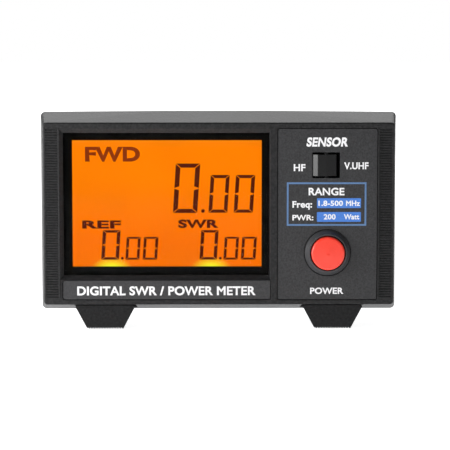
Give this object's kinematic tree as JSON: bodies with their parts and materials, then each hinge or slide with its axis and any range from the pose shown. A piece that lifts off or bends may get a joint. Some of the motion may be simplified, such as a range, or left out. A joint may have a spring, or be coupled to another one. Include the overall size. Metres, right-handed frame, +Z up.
{
  "type": "SWR and power meter",
  "caption": "Desktop digital SWR and power meter: tapered black front, backlit display, band rocker, push button, fold-out legs and rear coaxial sockets.",
  "frame": {"origin": "middle of the whole part's footprint, on the level of the two tilt legs' tips", "axes": "+X to the right as seen from the front, +Y from the front face to the rear sockets, +Z up"},
  "size_m": [0.1556, 0.1186, 0.093],
  "materials": {
    "moulded_abs": "fine spark-eroded matt black ABS",
    "window_acrylic": "polished clear acrylic with a black printed border",
    "gasket_foam": "black closed-cell foam",
    "lcd_glass": "orange-lit liquid crystal cell",
    "guide_acrylic": "clear acrylic light guide",
    "led_lens": "lit yellow LED lens",
    "holder_plastic": "white polycarbonate",
    "contact_rubber": "pink silicone contact strip",
    "circuit_board": "green solder-masked glass epoxy",
    "zinc_steel": "bright zinc-plated steel",
    "black_screw": "black-oxide steel",
    "header_nylon": "natural nylon",
    "title_print": "screen-printed satin grey plate",
    "control_print": "screen-printed matt charcoal plate",
    "switch_nylon": "black nylon",
    "rocker_nylon": "satin black nylon",
    "tinned_copper": "tinned terminal",
    "collar_nylon": "satin black nylon collar",
    "button_red": "satin red ABS",
    "stem_acetal": "white acetal",
    "spring_steel": "spring steel wire",
    "leg_abs": "matt black ABS",
    "cover_paint": "black wrinkle-finish powder coat on steel",
    "chassis_steel": "black powder-coated steel",
    "panel_paint": "black powder-coated steel",
    "foot_rubber": "black rubber",
    "brass_part": "plain brass",
    "chip_epoxy": "black epoxy",
    "capacitor_sleeve": "blue capacitor sleeve",
    "ribbon_pvc": "grey PVC ribbon",
    "lead_pvc": "red PVC",
    "tinplate": "tinned steel sheet",
    "copper_line": "bare copper",
    "ferrite": "coated ferrite",
    "nickel_plate": "nickel-plated brass",
    "ptfe": "white PTFE",
    "gold_contact": "gold-plated contact",
    "jack_plastic": "black polyamide"
  },
  "bodies": {
    "case": {"front_bezel": "moulded_abs", "display_window": "window_acrylic", "display_gasket": "gasket_foam", "lcd_cell": "lcd_glass", "light_guide": "guide_acrylic", "backlight_leds": "led_lens", "lcd_holder": "holder_plastic", "contact_strips": "contact_rubber", "display_board": "circuit_board", "display_board_screws": "zinc_steel", "display_header": "header_nylon", "title_plate": "title_print", "control_plate": "control_print", "rocker_housing": "switch_nylon", "rocker_terminals": "tinned_copper", "rocker_pin": "black_screw", "power_switch_body": "collar_nylon", "power_switch_nut": "brass_part", "power_switch_terminals": "tinned_copper", "power_return_spring": "spring_steel", "leg_pins": "zinc_steel", "front_brackets": "zinc_steel", "bezel_screws": "zinc_steel", "top_cover": "cover_paint", "cover_screws": "black_screw", "bottom_chassis": "chassis_steel", "rear_panel": "panel_paint", "rubber_feet": "foot_rubber", "foot_screws": "zinc_steel", "foot_nuts": "zinc_steel", "main_board": "circuit_board", "board_standoffs": "brass_part", "board_screws": "zinc_steel", "board_chips": "chip_epoxy", "board_capacitors": "capacitor_sleeve", "voltage_regulator": "chip_epoxy", "board_header": "header_nylon", "display_ribbon": "ribbon_pvc", "sensor_leads": "lead_pvc", "hf_coupler_box": "tinplate", "hf_coupler_lid": "tinplate", "hf_coupler_board": "circuit_board", "hf_line": "copper_line", "hf_toroids": "ferrite", "vuhf_coupler_box": "tinplate", "vuhf_coupler_lid": "tinplate", "vuhf_coupler_board": "circuit_board", "vuhf_line": "copper_line", "socket_shells": "nickel_plate", "socket_insulators": "ptfe", "socket_contacts": "gold_contact", "socket_screws": "zinc_steel", "dc_jack": "jack_plastic", "dc_jack_nut": "zinc_steel", "ground_terminal": "brass_part"},
    "rocker": {"rocker_paddle": "rocker_nylon"},
    "button": {"power_button_cap": "button_red", "power_button_stem": "stem_acetal"},
    "left_leg": {"tilt_leg_left": "leg_abs"},
    "right_leg": {"tilt_leg_right": "leg_abs"}
  },
  "joints": [
    {"name": "band_rocker", "type": "hinge", "parent": "case", "child": "rocker", "pos_m": [0.04575, -0.0534, 0.0702], "axis": [0, 0, 1], "range_deg": [-36, 0]},
    {"name": "power_press", "type": "slide", "parent": "case", "child": "button", "axis": [0, 1, 0], "range_m": [0, 0.003], "stiffness_N_per_m": 500},
    {"name": "left_leg_fold", "type": "hinge", "parent": "case", "child": "left_leg", "pos_m": [-0.0488, -0.0499, 0.0114], "axis": [1, 0, 0], "range_deg": [0, 90]},
    {"name": "right_leg_fold", "type": "hinge", "parent": "case", "child": "right_leg", "pos_m": [0.0488, -0.0499, 0.0114], "axis": [1, 0, 0], "range_deg": [0, 90]}
  ]
}
